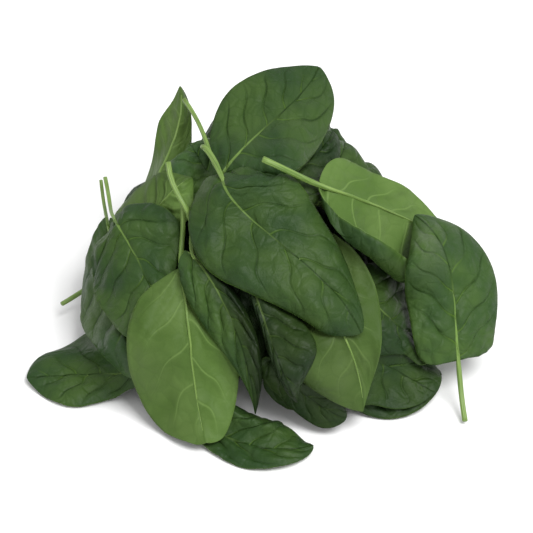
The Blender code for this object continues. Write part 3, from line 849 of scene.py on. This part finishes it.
def merge_ends(outward):
    """Joins the points that meet at the poles and seams of the active piece."""
    bpy.ops.object.mode_set(mode="EDIT")
    bpy.ops.mesh.select_all(action="SELECT")
    bpy.ops.mesh.remove_doubles(threshold=0.01 * MM)
    if outward:
        bpy.ops.mesh.normals_make_consistent(inside=False)
    bpy.ops.object.mode_set(mode="OBJECT")


def triple(*values):
    return np.stack(np.broadcast_arrays(*values), axis=-1).astype(float)


def make_blade(leaf, laid_blade, divisions, number, finishes):
    """The blade as a thin sheet with an upper and an under finish."""
    rows, columns = divisions
    along = 0.5 - 0.5 * np.cos(np.pi * np.linspace(0.0, 1.0, rows + 1))
    across = np.linspace(-1.0, 1.0, columns + 1)
    across = across * (0.72 + 0.28 * across**2)
    sideways, lengthwise = flat_place(leaf, along, across)
    coordinate, gap, strength = side_veins(leaf, along, across)
    # Each half's lightness: partly the leaf's own tone, mostly painted shade and painted light.
    tone = np.interp(across, (-0.4, 0.4), leaf.tone)
    layers = {
        "leaf_place": triple(sideways, lengthwise, 40.0 * number),
        "leaf_vein": triple(coordinate, gap, strength),
        "leaf_share": triple(along[:, None], np.abs(across), tone),
    }
    piece = grid_piece(f"leaf_{leaf.name}", laid_blade(along, across), layers)
    merge_ends(outward=False)
    sheet = piece.modifiers.new("thickness", "SOLIDIFY")
    sheet.thickness = LEAF_THICKNESS * MM
    sheet.offset = 0.0
    sheet.material_offset = 1
    upper, under = finishes["upper"], finishes["under"]
    for finish in (under, upper) if leaf.under else (upper, under):
        piece.data.materials.append(finish)
    bpy.ops.object.modifier_apply(modifier=sheet.name)
    piece.data.shade_smooth()
    return piece


def stalk_path(leaf, laid_blade, line):
    """From the cut end to the tip, the path of stalk and midrib, its radius, and its upper side's facing."""
    ribs = np.linspace(0.12, 0.93, STALK_DIVISIONS[0] // 2)
    middle = laid_blade(ribs, np.array([-0.04, 0.0, 0.04]))
    side = unit(middle[:, 2] - middle[:, 0])
    ahead = unit(np.gradient(middle[:, 1], axis=0))
    face = np.cross(side, ahead) * (-1.0 if leaf.under else 1.0)
    radius = rib_radius(leaf, ribs)
    sunk = RIB_SUNK_IN_VIEW if leaf.under else RIB_SUNK
    path = middle[:, 1] - face * radius[:, None] * sunk
    if line is None:
        return path, radius, face
    stations = np.linspace(len(line) - 1, 0, STALK_DIVISIONS[0] // 2)[:-1]
    back = np.stack([np.interp(stations, np.arange(len(line)), axis) for axis in line.T], axis=-1)
    share = stations / (len(line) - 1)
    back -= face[0] * (radius[0] * sunk * np.clip(1.0 - share * 3, 0.0, 1.0))[:, None]
    swelling = (radius[0], *(leaf.stalk_radius * np.array([1, 1, 1.1])))
    swell = np.interp(share, (0.0, 0.4, 0.9, 1.0), swelling)
    faces = np.repeat(face[:1], len(back), axis=0)
    return np.concatenate([back, path]), np.concatenate([swell, radius]), np.concatenate([faces, face])


def make_stalk(leaf, laid_blade, line, finish):
    """The ribbed stalk, which runs on under the blade as its midrib."""
    path, radius, face = stalk_path(leaf, laid_blade, line)
    ahead = unit(np.gradient(path, axis=0))
    side = unit(np.cross(ahead, face))
    face = np.cross(side, ahead)
    turn = np.linspace(0.0, 2 * np.pi, STALK_DIVISIONS[1] + 1)
    groove = 1.0 - STALK_GROOVE * np.exp(-(((turn - np.pi / 2) / 0.5) ** 2)) + STALK_RIDGES * np.cos(6 * turn)
    ends = np.concatenate([[0.0, 0.55, 0.93], np.ones(len(path) - 1), [0.0]])
    rows = np.concatenate([[0, 0, 0], np.arange(1, len(path) - 1), [len(path) - 1] * 2])
    rings = np.cos(turn)[:, None] * side[rows, None] + np.sin(turn)[:, None] * face[rows, None] * 0.92
    tube = path[rows, None] + rings * (groove * (radius[rows] * ends)[:, None])[..., None]
    tube[:2] -= ahead[0] * radius[0] * np.array([0.16, 0.12])[:, None, None]
    length = np.linalg.norm(path[rows] - path[0], axis=-1)
    layers = {"stalk_place": triple(np.cos(turn), np.sin(turn), length[:, None])}
    piece = grid_piece(f"stalk_{leaf.name}", tube, layers)
    merge_ends(outward=True)
    piece.data.materials.append(finish)
    piece.data.shade_smooth()
    return piece


def make_buried_mass(finish):
    """The shadowed mass of buried leaves inside the heap, which shows only through its gaps."""
    bpy.ops.object.select_all(action="DESELECT")
    bpy.ops.mesh.primitive_uv_sphere_add(segments=72, ring_count=36, radius=1.0)
    piece = bpy.context.object
    piece.name = piece.data.name = "buried_leaves"
    for vertex in piece.data.vertices:
        x, y, z = vertex.co
        wide = 1.0 + 0.04 * math.sin(5 * math.atan2(y, x))
        right = BURIED_CENTRE[0] + BURIED_HALVES[0] * wide * x
        deep = BURIED_CENTRE[1] + BURIED_HALVES[1] * wide * y
        crumple = BURIED_CRUMPLE * math.sin(right * 0.31) * math.sin(deep * 0.37 + right * 0.11)
        height = BURIED_HEIGHT * max(0.0, 1.0 - x * x - y * y) ** 0.6 + crumple
        vertex.co = (right * MM, deep * MM, (max(BURIED_FOOT, height) if z > 1e-6 else BURIED_FOOT) * MM)
    merge_ends(outward=True)
    piece.data.materials.append(finish)
    piece.data.shade_smooth()
    return piece


class Wire:
    """One value or colour in a material's nodes, which Python's operators work on."""

    def __init__(self, finish, socket):
        self.finish, self.socket = finish, socket

    def math(self, operation, *others):
        values = dict(enumerate((self, *others)))
        return self.finish.node("ShaderNodeMath", {"operation": operation}, values)

    def __add__(self, other):
        return self.math("ADD", other)

    def __sub__(self, other):
        return self.math("SUBTRACT", other)

    def __rsub__(self, other):
        return self.finish.node("ShaderNodeMath", {"operation": "SUBTRACT"}, {0: other, 1: self})

    def __mul__(self, other):
        return self.math("MULTIPLY", other)

    def __truediv__(self, other):
        return self.math("DIVIDE", other)

    def __pow__(self, other):
        return self.math("POWER", other)

    def __abs__(self):
        return self.math("ABSOLUTE")

    __radd__ = __add__
    __rmul__ = __mul__

    def between(self, low, high):
        """Rises smoothly from 0 where the value is low to 1 where it is high."""
        values = {0: self, 1: low, 2: high, 3: 0.0, 4: 1.0}
        return self.finish.node("ShaderNodeMapRange", {"interpolation_type": "SMOOTHSTEP"}, values)

    def parts(self):
        """The three parts of a vector."""
        return tuple(
            self.finish.node("ShaderNodeSeparateXYZ", {}, {0: self}, out=out) for out in ("X", "Y", "Z")
        )

    def scaled(self, size):
        return self.finish.node("ShaderNodeVectorMath", {"operation": "SCALE"}, {0: self, "Scale": size})

    def moved(self, step):
        return self.finish.node("ShaderNodeVectorMath", {"operation": "ADD"}, {0: self, 1: step})


class Finish:
    """A material, with what varies over its surface made from nodes."""

    def __init__(self, name, **settings):
        self.material = bpy.data.materials.new(name)
        self.material.use_nodes = True
        self.tree = self.material.node_tree
        self.shader = self.tree.nodes["Principled BSDF"]
        for socket, value in settings.items():
            self.shader.inputs[socket.replace("_", " ")].default_value = value

    def node(self, kind, settings, values, out=0):
        """A node with its settings made first, then the values or links of its sockets. Gives one output."""
        node = self.tree.nodes.new(kind)
        for setting, value in settings.items():
            setattr(node, setting, value)
        for socket, value in values.items():
            if isinstance(value, Wire):
                self.tree.links.new(value.socket, node.inputs[socket])
            else:
                node.inputs[socket].default_value = value
        return Wire(self, node.outputs[out])

    def attribute(self, name):
        return self.node("ShaderNodeAttribute", {"attribute_name": name}, {}, out="Vector")

    def place(self):
        return self.node("ShaderNodeTexCoord", {}, {}, out="Object")

    def vector(self, x, y, z=0.0):
        return self.node("ShaderNodeCombineXYZ", {}, {0: x, 1: y, 2: z})

    def noise(self, where, scale, detail=2.0):
        return self.node("ShaderNodeTexNoise", {}, {"Vector": where, "Scale": scale, "Detail": detail})

    def net(self, where, scale):
        """How far from the nearest wall of a network of cells, in cells."""
        settings = {"feature": "DISTANCE_TO_EDGE"}
        return self.node("ShaderNodeTexVoronoi", settings, {"Vector": where, "Scale": scale}, out="Distance")

    def mix(self, share, first, second):
        """Goes from the first colour to the second as share goes from 0 to 1."""
        return self.node("ShaderNodeMix", {"data_type": "RGBA"}, {0: share, 6: first, 7: second}, out=2)

    def colour(self, wire):
        self.tree.links.new(wire.socket, self.shader.inputs["Base Color"])

    def roughness(self, wire):
        self.tree.links.new(wire.socket, self.shader.inputs["Roughness"])

    def bump(self, height, depth):
        """Relief of that depth in mm where height goes from 0 to 1."""
        values = {"Height": height, "Distance": depth * MM, "Strength": 1.0}
        wire = self.node("ShaderNodeBump", {}, values, out="Normal")
        self.tree.links.new(wire.socket, self.shader.inputs["Normal"])


def leaf_finish(name, look):
    """One side of a leaf: mottled green, its midrib, side veins and net of small veins, painted shade in the
    creases, each half lightened or darkened by painted light and shade along with its own tone, and a satin
    skin.
    """
    finish = Finish(name, IOR=LEAF_IOR, Specular_IOR_Level=LEAF_SHEEN_LEVEL)
    place = finish.attribute("leaf_place")
    across, _, _ = place.parts()
    coordinate, gap, strength = finish.attribute("leaf_vein").parts()
    share, out, tone = finish.attribute("leaf_share").parts()

    # The midrib narrows towards the tip. Side veins show near it, and painted shade lies in the creases along
    # them here and there.
    width = look.midrib_width * (0.4 + 0.6 * (1.0 - share) ** 6.0)
    line = 1.0 - (abs(across) / width).between(0.6, 1.3)
    from_vein = coordinate.math("PINGPONG", 0.5) * gap
    vein_line = 1.0 - (from_vein / (look.vein_width * (1.0 - 0.6 * out))).between(0.3, 1.4)
    # Patches where the painted shade in the creases is stronger or weaker.
    shade_patches = finish.noise(place, 0.09, 1.0).between(0.38, 0.62)
    crease = (1.0 - from_vein.between(0.03, 0.5)) * strength * (0.25 + 0.75 * shade_patches)
    near_rib = 1.0 - out.between(*look.veins_fade)

    # The net of small veins, bent by a slow noise, then large mottles and a fine grain.
    wander = finish.noise(place, 0.16, 2.0)
    bent = place.moved(finish.vector(wander * 5.0, wander * -4.0))
    cells = finish.net(bent, 0.2)
    net = 1.0 - cells.between(0.0, 0.09)
    mottled = finish.noise(place, 0.05, 3.0).between(0.32, 0.68)
    grain = finish.noise(place, 1.3, 3.0)

    colour = finish.mix(mottled * 0.8 + grain * 0.2, look.dark, look.light)
    colour = finish.mix(net * look.net, colour, look.net_colour)
    # Painted shade in the creases along the side veins.
    colour = finish.mix(crease * look.crease, colour, look.shadow)
    colour = finish.mix(vein_line * strength * near_rib * look.veins, colour, look.vein)
    rib_part = 1.0 - share.between(*look.rib_fades)
    # Painted shade along the midrib's groove where its pale part fades.
    colour = finish.mix(line * (1.0 - 0.8 * rib_part) * look.crease, colour, look.shadow)
    colour = finish.mix(line * rib_part * look.midrib, colour, look.rib)
    rim = out.between(0.965, 1.0)
    # Scaled by each half's lightness, which is partly the leaf's own tone and mostly painted shade and
    # painted light.
    finish.colour(finish.mix(rim * 0.35, colour, look.vein).scaled(tone))
    finish.roughness(look.roughness + 0.12 * grain)
    folds = from_vein.between(0.0, 0.7) * strength
    finish.bump(folds * 0.5 + cells.between(0.0, 0.25) * 0.45 + grain * 0.35, look.bump)
    return finish.material


def stalk_finish():
    """Pale green stalk with darker streaks along it."""
    finish = Finish("stalk_green", IOR=STALK_IOR)
    across, up, along = finish.attribute("stalk_place").parts()
    round_it = finish.vector(across * 2.2, up * 2.2, along * 0.07)
    streaks = finish.noise(round_it, 1.6, 1.0).between(0.35, 0.65)
    broken = finish.noise(finish.place(), 260.0, 2.0)
    finish.colour(finish.mix(streaks * 0.8 + broken * 0.2, STALK_DARK, STALK_LIGHT))
    finish.roughness(0.36 + 0.14 * broken)
    finish.bump(streaks * 0.5 + broken * 0.5, 0.08)
    return finish.material


def buried_finish():
    """Deep green of the leaves inside the heap, darkened far below a leaf's own green as painted shade for
    the shadow they lie in.
    """
    finish = Finish("buried_green", IOR=STALK_IOR)
    blotches = finish.noise(finish.place(), 90.0, 3.0)
    veins = 1.0 - finish.net(finish.place(), 130.0).between(0.0, 0.08)
    colour = finish.mix(blotches.between(0.3, 0.7), BURIED_DARK, BURIED_LIGHT)
    finish.colour(finish.mix(veins * 0.3, colour, BURIED_VEIN))
    finish.roughness(0.55 + 0.15 * blotches)
    finish.bump(blotches - veins * 0.3, 1.0)
    return finish.material


def make_heap():
    """Every leaf, laid in turn, and the buried mass under them."""
    finishes = {
        "upper": leaf_finish("leaf_upper_green", UPPER_LOOK),
        "under": leaf_finish("leaf_under_green", UNDER_LOOK),
    }
    stalk_green = stalk_finish()
    pieces = [make_buried_mass(buried_finish())]
    pile = Pile()
    back = [(leaf, BACK_BLADE_DIVISIONS) for leaf in back_leaves()]
    front = [(leaf, BLADE_DIVISIONS) for leaf in FRONT_LEAVES]
    for number, (leaf, divisions) in enumerate(back + front):
        laid_blade, line = pile.lay(leaf)
        pieces.append(make_blade(leaf, laid_blade, divisions, number, finishes))
        pieces.append(make_stalk(leaf, laid_blade, line, stalk_green))
    for piece in pieces:
        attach(piece, "root")
        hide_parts(HEAP_NODE)


def make_stage():
    """A plain pale floor, far larger than the heap."""
    bpy.ops.object.select_all(action="DESELECT")
    bpy.ops.mesh.primitive_plane_add(size=FLOOR_SIZE)
    floor = bpy.context.object
    floor.name = "floor"
    finish = Finish("floor_white", Base_Color=FLOOR_WHITE, Roughness=0.9)
    floor.data.materials.append(finish.material)
    floor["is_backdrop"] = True


def light_scene():
    """Soft white light from all round, and a large lamp in front of the heap to the right."""
    world = bpy.data.worlds.new("white_room")
    world.use_nodes = True
    world.node_tree.nodes["Background"].inputs["Color"].default_value = (1.0, 1.0, 1.0, 1.0)
    world.node_tree.nodes["Background"].inputs["Strength"].default_value = WORLD_STRENGTH
    bpy.context.scene.world = world
    lamp = bpy.data.lights.new("key", "AREA")
    lamp.size, lamp.energy = LAMP_SIZE, LAMP_POWER
    holder = bpy.data.objects.new("key", lamp)
    holder.location = LAMP_PLACE
    towards = np.array([0.0, 0.0, 0.02]) - np.array(LAMP_PLACE)
    tilt = math.acos(-towards[2] / np.linalg.norm(towards))
    holder.rotation_euler = (tilt, 0.0, math.atan2(towards[1], towards[0]) - math.pi / 2)
    bpy.context.scene.collection.objects.link(holder)


def place_camera():
    """The camera at the eye of the line of sight that the front leaves are laid out across."""
    camera = bpy.data.cameras.new("camera")
    camera.sensor_width = 36.0
    camera.lens = camera.sensor_width * SIGHT_DISTANCE / SEEN_WIDTH
    holder = bpy.data.objects.new("camera", camera)
    sight = Sight(0.0)
    holder.location = (sight.target + sight.back * SIGHT_DISTANCE) * MM
    holder.rotation_euler = (math.radians(90.0 - SIGHT_ELEVATION), 0.0, 0.0)
    bpy.context.scene.collection.objects.link(holder)
    bpy.context.scene.camera = holder


def write_sizes():
    """Puts the box of the solids and the box of the finished heap side by side; nothing is written or kept.
    """
    boxes = {"cad": CAD_BOX, "visual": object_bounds()}
    {name: [list(corner) for corner in box] for name, box in boxes.items()}


make_heap()
make_stage()
light_scene()
place_camera()
bpy.context.scene.view_settings.view_transform = "Standard"
write_sizes()
